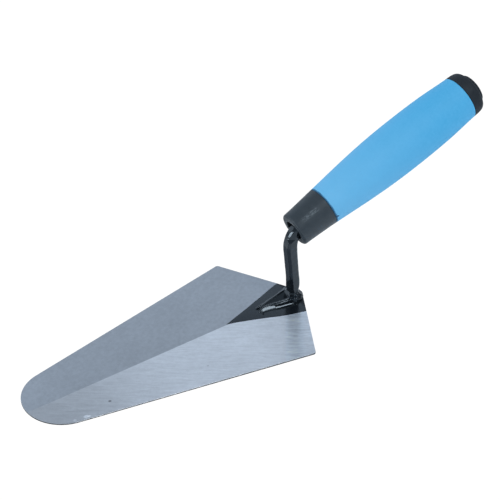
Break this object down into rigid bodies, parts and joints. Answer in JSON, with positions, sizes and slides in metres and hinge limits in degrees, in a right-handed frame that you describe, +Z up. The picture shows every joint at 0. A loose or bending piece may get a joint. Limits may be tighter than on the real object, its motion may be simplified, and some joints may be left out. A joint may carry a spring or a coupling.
{
  "type": "brick trowel",
  "caption": "Hand trowel for laying mortar: tapered round-nosed steel blade ground to a ridge, black cranked square shank welded to its heel, and a barrel handle with a soft blue grip.",
  "frame": {"origin": "on the blade's flat underside, on the centre line, below the root of the shank", "axes": "+Z up, away from the blade's working face; -X towards the blade's nose, +X the way the handle rises; Y across the blade"},
  "size_m": [0.3188, 0.102, 0.1127],
  "materials": {
    "ground_steel": "fine ground, satin",
    "black_lacquer": "dipped gloss lacquer",
    "black_plastic": "moulded satin",
    "blue_rubber": "soft-touch matte"
  },
  "bodies": {
    "root": {"blade": "ground_steel", "shank": "black_lacquer", "weld_bead_left": "black_lacquer", "weld_bead_right": "black_lacquer", "handle_core": "black_plastic", "soft_grip": "blue_rubber", "butt_cap": "black_plastic", "end_plug": "black_plastic"}
  },
  "joints": []
}
